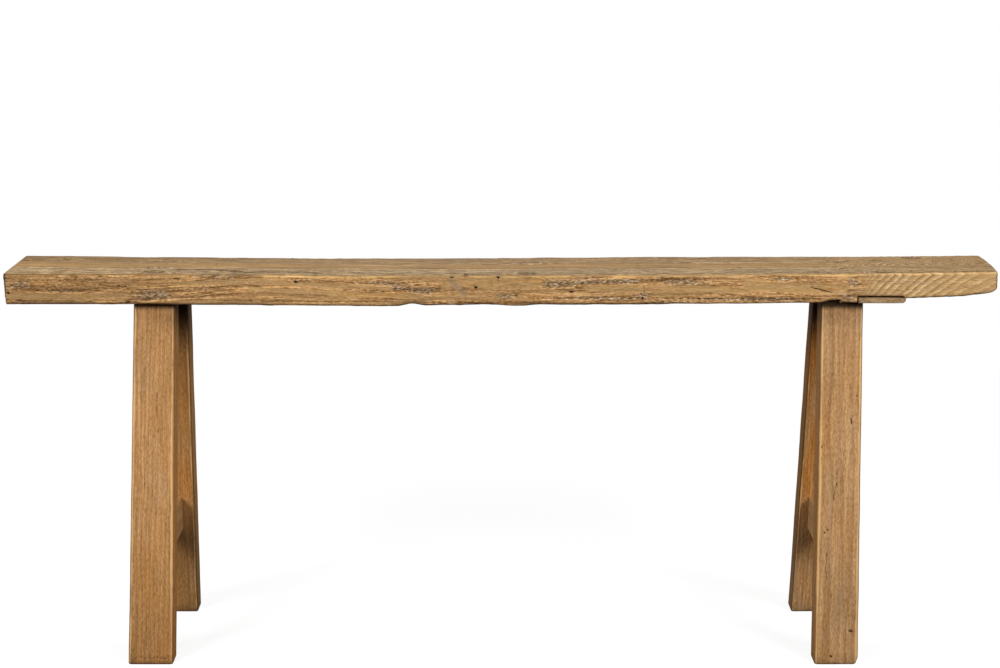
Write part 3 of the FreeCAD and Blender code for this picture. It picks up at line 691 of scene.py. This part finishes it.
for half, line in bark_seams:
    distance, share = to_line(from_above, line)
    half = half * (0.55 + np.sqrt(np.clip(share * (1 - share), 0, 1)))
    half = half * (1 + 0.5 * drift(points, (13, 5, 5), 24))
    seam = np.clip(1.8 - np.hypot(distance, below_top / 2) / half, 0, 1)
    bark = np.maximum(bark, 0.85 * seam)
    shade = shade * (1 - 0.2 * seam)
bark = np.maximum(bark, knotty)
note(seat_mesh, fibre=fibre, ring=ring, heart=heart, lined=lined, crack=crack, bark=bark, edge=edge,
     shade=shade, warmth=warmth)

# Brushed pine, weathered to a grey tan: the rings stand out as dark lines, and the heart is smooth and ochre.
seat_pine = old_softwood("brushed_old_pine", early="#AE8C5E", ochre="#B08B59", late="#40270D", pale="#EAC898",
                         grey="#987C5C", line_strength=1.0, thread_size=(13, 0.95, 0.95),
                         thread_contrast=0.36, worn="#D4A96D", grit=0.85)
weathered("seat", seat_mesh, "seat_plank", "seat_wood", wood=seat_pine, grain_height=0.35, crack_depth=1.4,
          bark_roughness=2.0, lump_height=6.0, hollow_depth=1.2, hollow_length=70.0, seed=1.0)


# The legs: four posts of the same old softwood, planed square and tapered, with chamfered arrises that wear
# has left pale. Each leans out to the front or the back and is tenoned and wedged into the seat.
foot_chamfer = 3.0
foot_ease = 1.1
leg_chamfer = 2.0
into_seat = 3.5  # the skin of a leg runs this far into the seat
leg_ring_width = 5.0
leg_pine = old_softwood("planed_old_pine", early="#B78B5E", ochre="#B57F45", late="#6E4824", pale="#D2A268",
                        grey="#A8855F", line_strength=0.22, thread_size=(34, 1.1, 1.1), thread_contrast=0.14,
                        worn="#E2B278", grit=0.8, banding=0.5, dirt_and_shade="#573920")


def section_at(node, height):
    """Lowest and highest corner (x, y) of a leg's CAD solid at a height."""
    corners = np.array([v.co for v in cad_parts[node].data.vertices]) / MM
    level = corners[np.abs(corners[:, 2] - height) < 0.2][:, :2]
    return level.min(axis=0), level.max(axis=0)


# Slits and worm holes in the front faces of the front legs: half width, then points (x, z).
leg_marks = {
    "front_left_leg": [(0.2, [(-418, 328), (-418.4, 300), (-417, 280)]),
                       (0.45, [(-423.5, 116), (-423.5, 106)]),
                       (0.12, [(-434, 240), (-433.6, 212)]), (0.12, [(-428, 152), (-427.6, 130)]),
                       (0.25, [(-447, 7), (-439, 9.5), (-430, 6.5), (-421, 9), (-413, 7), (-406, 8.5)])],
    "front_right_leg": [(0.6, [(424.8, 298), (425.3, 291)]), (0.7, [(389.7, 263.5), (389.7, 262.5)]),
                        (0.6, [(432, 325), (432, 324)]), (0.4, [(418.6, 250), (418.6, 247)]),
                        (0.8, [(393.5, 160), (394, 158.5)]), (0.8, [(397, 163), (397.5, 162)]),
                        (1.2, [(424.5, 41), (427, 40.4)]), (1.1, [(401, 10), (403, 10)]),
                        (0.5, [(411, 11), (411, 10)]),
                        (0.35, [(409, 235), (407, 228), (409, 221), (406, 213)]),
                        (0.35, [(406, 210), (404, 203), (405, 197)]),
                        (0.3, [(397, 140), (395, 118), (396, 104)])],
}
# The legs are planed by hand and differ a little. For each: how far its sides stand from their even places,
# at the seat (left, right) and at the foot (left, right), then its tone, its warmth, how much darker it grows
# towards its foot and the shade on its flanks.
leg_looks = {
    "front_left_leg": ((-1.4, -1.8, -3.5, 0.5), 1.02, 0.0, 0.15, 0.1),
    "front_right_leg": ((0.0, 0.5, -0.3, 2.6), 1.04, -0.4, 0.12, 0.28),
    "rear_left_leg": ((0.0, 4.4, 0.0, 4.6), 1.09, 0.75, 0.4, 0.3),
    "rear_right_leg": ((0.0, 0.0, -2.9, 0.0), 0.99, 0.75, 0.0, 0.5),
}
break_height, break_slope = 8.5, 0.35  # the outer corner of the right-hand front foot is broken off
legs = {}
for number, (leg, (planed, tone, warm, foot_darkening, flank_shade)) in enumerate(leg_looks.items()):
    front = "front" in leg
    foot_low, foot_high = section_at(leg, foot_chamfer)
    seat_low, seat_high = section_at(leg, underside)
    for corner, extra in zip((seat_low, seat_high, foot_low, foot_high), planed):
        corner[0] += extra
    legs[leg] = (foot_low, foot_high, seat_low, seat_high)
    heights = np.append([0.2, 0.6, 1.1, 2.2], np.arange(foot_chamfer, underside + into_seat, 1.5))[:, None]
    rise = ((heights - foot_chamfer) / (underside - foot_chamfer))[..., None]
    shrink = np.clip(foot_ease - heights, 0, None)[..., None]
    low = foot_low + (seat_low - foot_low) * rise + shrink
    high = foot_high + (seat_high - foot_high) * rise - shrink
    if leg == "front_right_leg":
        high[..., 0] -= break_slope * np.clip(break_height - heights, 0, None)
    across, up = outline(*[shares(48), shares(38)] * 2)
    flat = low + (high - low) * np.stack((across, up), axis=-1)
    heights = heights + 0 * across
    spots = np.stack(np.broadcast_arrays(heights, 70 * across, 70 * up), axis=-1)
    worn = drift(spots, (50, 50, 50), 20 + number)
    flat = eased_corners(flat, low, high, (leg_chamfer + 0.8 * worn)[..., None], chamfer=True)
    leg_mesh, points = skin(leg, np.concatenate((flat, heights[..., None]), axis=-1), 10)
    height = points[:, 2]
    rise = ((points[:, 2:] - foot_chamfer) / (underside - foot_chamfer))
    from_low = points[:, :2] - (foot_low + (seat_low - foot_low) * rise)
    from_high = foot_high + (seat_high - foot_high) * rise - points[:, :2]
    from_sides = np.minimum(np.abs(from_low), np.abs(from_high))
    flank = ease(0.3, 1.5, from_sides[:, 1])
    outer = from_low[:, 0] < from_high[:, 0] if "left" in leg else from_high[:, 0] < from_low[:, 0]

    # The arrises of the front legs are the most worn, above all the inner ones.
    edge = 1.7 * np.abs(from_sides[:, 0] - leg_chamfer + 0.4) + 1.1 * from_sides[:, 1]
    edge = edge + 0.1 * outer + 1.6 * (not front)
    edge = edge + 1.2 * drift(points, (12, 12, 45), 64 + number)
    edge = edge + 0.9 * drift(points, (6, 6, 10), 74 + number)

    # Each leg is sawn from the log at its own turn, so its rings cross it differently.
    turn = 0.5 + 0.9 * number
    side = from_low[:, 0] * math.cos(turn) + from_low[:, 1] * math.sin(turn)
    depth = from_low[:, 1] * math.cos(turn) - from_low[:, 0] * math.sin(turn)
    grain = np.hypot(side + 30, 0.6 * depth) + 2.6 * drift(points, (14, 14, 160), 30 + number)
    fibre = np.stack((height, side + 60 * number, depth), axis=-1)
    crack = far_off
    for half, line in leg_marks.get(leg, ()):
        distance, _ = to_line(points[:, [0, 2]], line)
        crack = np.minimum(crack, np.hypot(distance, from_low[:, 1]) - half - 0.3)

    # Darker towards the foot and on the flanks, with painted shade up under the seat and a dark line along
    # one side.
    shade = tone - foot_darkening * ease(190, 30, height)
    shade = shade + 0.05 * drift(points, (30, 30, 80), 34 + number)
    # Painted shade darkens the front legs higher up, where the lamps fall stronger; every leg is also darker
    # just under the seat.
    shade = shade - 0.09 * ease(230, 380, height) * front - 0.14 * ease(402, 418, height)
    # Painted shadow of the seat across the top of each leg.
    shade = shade * (1 - flank_shade * flank) * (1 - 0.92 * ease(425, 433, height))
    shade = shade * (1 - 0.4 * ease(4, 0.5, height))
    # Painted shade: on the front legs, the flanks under the seat; on the rear legs, the tops under the seat
    # and the area round the stretcher.
    if front:
        shade = shade * (1 - 0.5 * flank * ease(375, 425, height))
    else:
        painted_shade = np.maximum(0.93 * ease(350, 424, height), 0.3 * lump(height, 100, 60))
        shade = shade * (1 - painted_shade * ease(25, 10, from_low[:, 1]))
    shade = shade * (1 - 0.25 * ease(14, 2, height) * (1 + drift(points, (9, 9, 5), 54 + number)))
    lined_side = outer if front else ~outer
    outer_line = lined_side * ease(1.4, 0.4, from_sides[:, 0]) * ease(7, 2, from_low[:, 1])
    rough_top = ease(385, 420, height) * (0.6 + drift(points, (16, 16, 8), 84 + number))
    shade = shade * (1 - 0.45 * outer_line) * (1 - 0.16 * rough_top)
    warmth = warm + 0.6 * drift(points, (22, 22, 70), 44 + number) + 1.1 * flank * front
    if leg == "front_left_leg":
        shade = shade * (1 + 0.05 * drift(points, (5, 5, 130), 95) + 0.03 * drift(points, (2.5, 9, 70), 96))
        warmth = warmth + 0.7 * ease(190, 60, height)
    if leg == "front_right_leg":
        smudge = lump(points[:, 0], 410.5, 9) * lump(height, 63, 30)
        shade, warmth = shade * (1 + 0.1 * smudge), warmth - 1.3 * smudge
    if leg == "rear_right_leg":
        warmth = warmth + 0.1 + 1.1 * drift(points, (10, 14, 60), 94) - 0.7 * ease(130, 50, height)
    note(leg_mesh, fibre=fibre, ring=grain / leg_ring_width, heart=0, lined=1, crack=crack, bark=0, edge=edge,
         shade=shade, warmth=warmth)
    weathered(leg.replace("_leg", "_post"), leg_mesh, leg, "leg_wood", wood=leg_pine, grain_height=0.05,
              crack_depth=0.8, hollow_depth=0.9, hollow_length=60.0, seed=2.0 + number)


# The stretchers: one short rail at each end, tenoned into the front and the rear leg and pinned there. The
# same planed wood as the legs, darker, because hands and feet seldom rub it.
rail_ease = 2.0
into_leg = 8.0  # the skin of a stretcher runs this far into each leg
rail_pine = old_softwood("shaded_old_pine", early="#BB8F5E", ochre="#AC7F4D", late="#6B4A2A", pale="#CFA26C",
                         grey="#A58463", line_strength=0.35, thread_size=(12, 1.1, 1.1), thread_contrast=0.24,
                         worn="#C39560")
for number, rail in enumerate(("left_stretcher", "right_stretcher")):
    rail_low, rail_high = (np.array(corner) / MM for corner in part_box(rail))
    foot_low, foot_high, seat_low, seat_high = legs["front_" + rail.replace("stretcher", "leg")]
    half_way = (rail_low[2] + rail_high[2]) / 2 / underside
    reach = -(foot_high + (seat_high - foot_high) * half_way)[1] + into_leg
    low, high = rail_low[[2, 0]], rail_high[[2, 0]]
    across, up = outline(*[shares(40), shares(26)] * 2)
    run = np.arange(-reach, reach + 0.1, 2.4)[:, None] + 0 * across
    flat = low + (high - low) * np.stack((across, up), axis=-1) + 0 * run[..., None]
    flat = eased_corners(flat, low, high, rail_ease, chamfer=True)
    rail_mesh, points = skin(rail, np.stack((flat[..., 1], run, flat[..., 0]), axis=-1), 8)
    to_faces = np.stack((points[:, 0] - rail_low[0], rail_high[0] - points[:, 0],
                         points[:, 2] - rail_low[2], rail_high[2] - points[:, 2]))
    edge = np.sort(np.abs(to_faces), axis=0)[1]
    grain = np.hypot(points[:, 0] - rail_low[0] + 25, points[:, 2] - rail_low[2] - 12)
    grain = grain + 1.4 * drift(points, (30, 120, 30), 40 + number)
    fibre = np.stack((points[:, 1], grain, points[:, 2] + 90 * number), axis=-1)
    note(rail_mesh, fibre=fibre, ring=grain / leg_ring_width, heart=0, lined=1, crack=far_off, bark=0,
         edge=edge, shade=1, warmth=0)
    weathered(rail.replace("stretcher", "rail"), rail_mesh, rail, "stretcher_wood", wood=rail_pine,
              grain_height=0.12, hollow_depth=0.6, hollow_length=50.0, seed=7.0 + number)


# The packing strip: a thin sawn slip of pale softwood, let into the front lower edge of the seat beside the
# right-hand leg and nailed from below.
slip_ease = 0.9
slip_round = 4.5  # its right end is worn round from below
slip_length = 57.0
slip_ring_width = 2.4
slip_shade = 0.91837
slip_low = strip_low + (0.5, 0, 0)  # clear of the stub beside it
slip_high = strip_high - (0, 0, 0.3)  # and of the seat above it
slip_pine = old_softwood("sawn_old_pine", early="#B4946B", ochre="#A98658", late="#6E4F31", pale="#C9A878",
                         grey="#9C8263", line_strength=0.6, thread_size=(20, 1.1, 1.1), thread_contrast=0.45,
                         worn="#C9A878", grit=1.0)
across, up = outline(*[shares(40, 0.4), shares(8, 0.3)] * 2)
ends = np.array([0, 0.3, 0.9])
run = np.concatenate((ends, np.arange(2, slip_length - 1, 1.5), slip_length - ends[::-1]))[:, None]
worn_end = np.clip((run + 0 * across - (slip_length - slip_round)) / slip_round, 0, 1)
run = run + slip_low[0] + 0 * across
low = np.stack((0 * run + slip_low[1], slip_low[2] + slip_round * (1 - np.sqrt(1 - worn_end ** 2))), axis=-1)
flat = low + (slip_high[1:] - low) * np.stack(np.broadcast_arrays(across, up), axis=-1)
flat = eased_corners(flat, low, slip_high[1:], slip_ease)
slip_mesh, points = skin("packing_strip", np.concatenate((run[..., None], flat), axis=-1), 4)
grain = points[:, 2] * 1.6 + 0.35 * points[:, 1] + 0.05 * points[:, 0] + 0.8 * drift(points, (40, 10, 10), 50)
note(slip_mesh, fibre=np.stack((points[:, 0], grain, points[:, 1]), axis=-1), ring=grain / slip_ring_width,
     heart=0, lined=1, crack=far_off, bark=0.75 + 0.35 * drift(points, (9, 6, 4), 51), edge=far_off,
     shade=slip_shade, warmth=0)
weathered("packing_slip", slip_mesh, "packing_strip", "strip_wood", wood=slip_pine, grain_height=0.1,
          hollow_depth=0.4, hollow_length=20.0, seed=9.0)


# The pegs, wedges and nails keep their CAD shapes. Pegs and wedges are split from hardwood that has darkened
# with handling, and the nails are iron, rusted a dull brown.
split_oak = bpy.data.materials.new("split_oak")
rusted_iron = bpy.data.materials.new("rusted_iron")
for finish, size, dark, light, metal, dull in ((split_oak, 1.2, "#5B3F26", "#94704A", 0.0, 0.7),
                                               (rusted_iron, 0.9, "#2B2320", "#6E4630", 0.6, 0.75)):
    finish.use_nodes = True
    tree = finish.node_tree
    shader = tree.nodes["Principled BSDF"]
    shader.inputs["Metallic"].default_value = metal
    shader.inputs["Roughness"].default_value = dull
    place = add_node(tree, "ShaderNodeTexCoord")["Object"]
    grit = add_node(tree, "ShaderNodeTexNoise", {"Vector": place, "Scale": 1 / (size * MM), "Detail": 3.0})[0]
    grit = add_node(tree, "ShaderNodeMapRange", {0: grit, 1: 0.35, 2: 0.65})[0]
    colour = add_node(tree, "ShaderNodeMix", {0: grit, 6: paint(dark), 7: paint(light)}, data_type="RGBA")[2]
    tree.links.new(colour, shader.inputs["Base Color"])
    bump = add_node(tree, "ShaderNodeBump", {"Strength": 0.6, "Distance": 0.2 * MM, "Height": grit})[0]
    tree.links.new(bump, shader.inputs["Normal"])
for node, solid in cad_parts.items():
    if node.endswith(("peg", "wedge", "nails")):
        solid.data.materials.clear()
        solid.data.materials.append(rusted_iron if node.endswith("nails") else split_oak)


# The studio: a pale floor that runs far back, a soft lamp at each side in front, weaker ones above and
# behind, and a little light from all round. The camera stands where the photographer's did.
floor_reach = 40
floor_corners = [(x * floor_reach, y * floor_reach, 0) for x, y in ((-1, -1), (1, -1), (1, 1), (-1, 1))]
floor_mesh = bpy.data.meshes.new("floor")
floor_mesh.from_pydata(floor_corners, [], [(0, 1, 2, 3)])
floor = bpy.data.objects.new("floor", floor_mesh)
bpy.context.collection.objects.link(floor)
white_paper = bpy.data.materials.new("white_paper")
white_paper.use_nodes = True
floor_mesh.materials.append(white_paper)


def in_view(tree):
    """1 for a ray from the camera, also one by way of something shiny or clear, and 0 for any other."""
    path = add_node(tree, "ShaderNodeLightPath")
    seen = path["Is Camera Ray"]
    for kind in ("Is Glossy Ray", "Is Transmission Ray"):
        seen = add_node(tree, "ShaderNodeMath", {0: seen, 1: path[kind]}, operation="MAXIMUM")[0]
    return seen


tree = white_paper.node_tree
tree.nodes.remove(tree.nodes["Principled BSDF"])
bounced = add_node(tree, "ShaderNodeBsdfDiffuse", {"Color": (0.02, 0.02, 0.02, 1)})[0]
shown = add_node(tree, "ShaderNodeBsdfDiffuse", {"Color": (0.3, 0.3, 0.3, 1)})[0]
glow = add_node(tree, "ShaderNodeEmission", {"Strength": 0.82})[0]
shown = add_node(tree, "ShaderNodeAddShader", {0: shown, 1: glow})[0]
far_white = add_node(tree, "ShaderNodeEmission", {"Strength": 1.0})[0]
away = add_node(tree, "ShaderNodeVectorMath", {0: add_node(tree, "ShaderNodeTexCoord")["Object"]},
                operation="LENGTH")["Value"]
away = add_node(tree, "ShaderNodeMapRange", {0: away, 1: 0.8, 2: 1.9}, interpolation_type="SMOOTHSTEP")[0]
shown = add_node(tree, "ShaderNodeMixShader", {0: away, 1: shown, 2: far_white})[0]
paper = add_node(tree, "ShaderNodeMixShader", {0: in_view(tree), 1: bounced, 2: shown})[0]
tree.links.new(paper, tree.nodes["Material Output"].inputs["Surface"])

world = bpy.context.scene.world or bpy.data.worlds.new("room")
bpy.context.scene.world = world
world.use_nodes = True
tree = world.node_tree
strength = add_node(tree, "ShaderNodeMapRange", {0: in_view(tree), 3: 0.008, 4: 1.0})[0]
tree.nodes["Background"].inputs["Color"].default_value = (1, 1, 1, 1)
tree.links.new(strength, tree.nodes["Background"].inputs["Strength"])

# Each lamp: degrees round from the front, degrees up, metres away, width and height in metres, watts.
aim_height = 0.35
for name, turn, lift, away, wide, high, power in (("lamp_left", -45, 23.5, 2.0, 0.9, 0.7, 29.0),
                                                  ("lamp_right", 45, 23.5, 2.0, 0.9, 0.7, 29.0),
                                                  ("lamp_top", 0, 90, 2.0, 1.0, 1.0, 6.0),
                                                  ("lamp_back", 180, 30, 2.6, 1.2, 1.0, 23.0)):
    lamp = bpy.data.objects.new(name, bpy.data.lights.new(name, "AREA"))
    lamp.data.shape = "RECTANGLE"
    lamp.data.size = wide
    lamp.data.size_y = high
    lamp.data.energy = power
    lamp.visible_camera = False
    turn, lift = math.radians(turn), math.radians(lift)
    lamp.location = (math.sin(turn) * math.cos(lift) * away, -math.cos(turn) * math.cos(lift) * away,
                     aim_height + math.sin(lift) * away)
    lamp.rotation_euler = (math.pi / 2 - lift, 0, turn)
    bpy.context.collection.objects.link(lamp)

look_down = 10.863
camera = bpy.data.objects.new("camera", bpy.data.cameras.new("camera"))
camera.data.sensor_width = 36.0
camera.data.lens = 85.485
camera.data.clip_end = 200.0
camera.location = (-0.00155, -2.8912, 0.9415)
camera.rotation_euler = (math.radians(90 - look_down), 0, 0)
bpy.context.collection.objects.link(camera)
bpy.context.scene.camera = camera
bpy.context.scene.view_settings.view_transform = "Standard"
